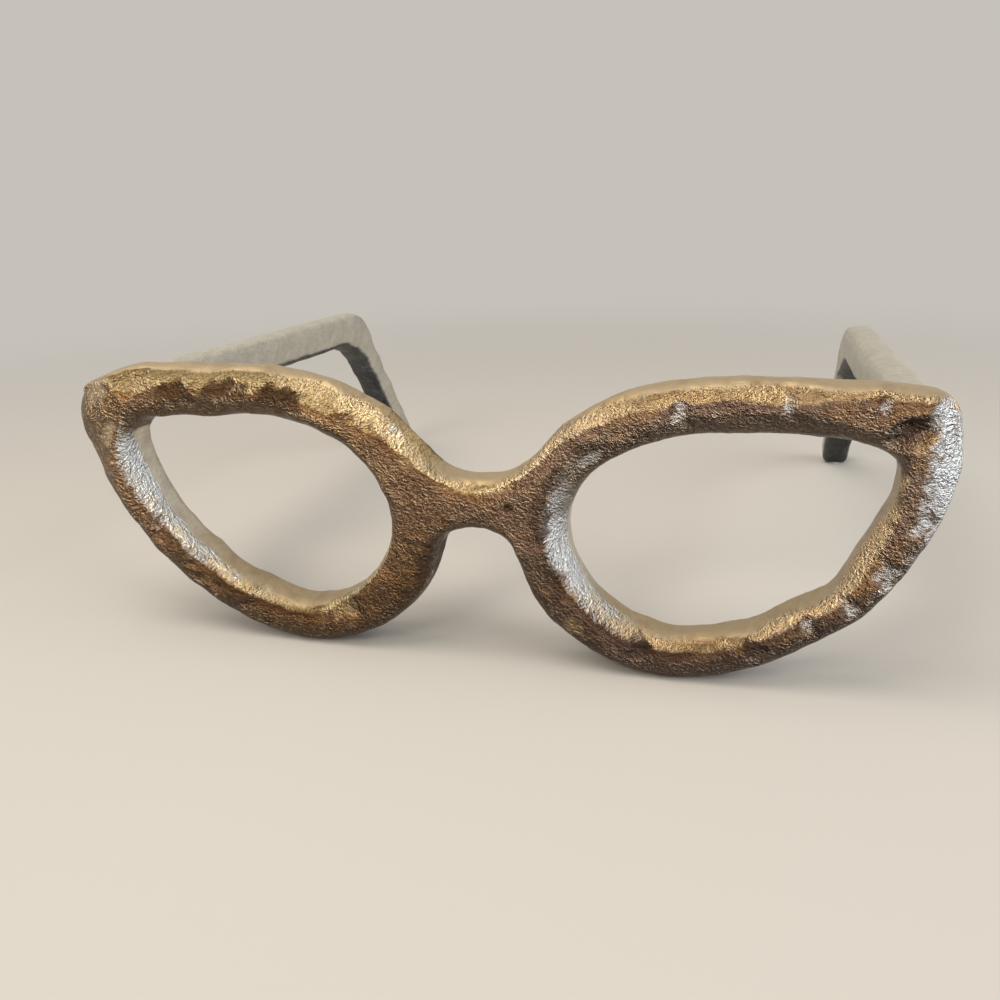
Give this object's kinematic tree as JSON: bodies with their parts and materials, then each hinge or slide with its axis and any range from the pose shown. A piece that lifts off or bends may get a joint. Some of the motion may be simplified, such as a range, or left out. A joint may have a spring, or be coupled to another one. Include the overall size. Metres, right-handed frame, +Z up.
{
  "type": "eyeglasses sculpture",
  "caption": "Oversized cat-eye glasses cast in metal, hammered and bronzed, standing on the rims and on the down-turned temple tips.",
  "frame": {"origin": "on the table, in the middle between left and right and between the front face and the rearmost point of the temples", "axes": "+Z up, -Y the way the glasses face, +X to the right as seen from the front"},
  "size_m": [0.296, 0.277, 0.1],
  "materials": {
    "cast_front": "sand-cast and hammered, antiqued champagne-bronze finish with gold and silver highlights",
    "cast_temple": "sand-cast, antiqued grey-silver finish",
    "steel": "plain machined steel",
    "felt": "pale pressed felt"
  },
  "bodies": {
    "root": {"front_frame": "cast_front", "left_temple": "cast_temple", "right_temple": "cast_temple", "left_weld": "cast_front", "right_weld": "cast_front", "left_stud": "steel", "right_stud": "steel", "left_dowel": "steel", "right_dowel": "steel", "left_rim_pad": "felt", "right_rim_pad": "felt", "left_tip_pad": "felt", "right_tip_pad": "felt"}
  },
  "joints": []
}
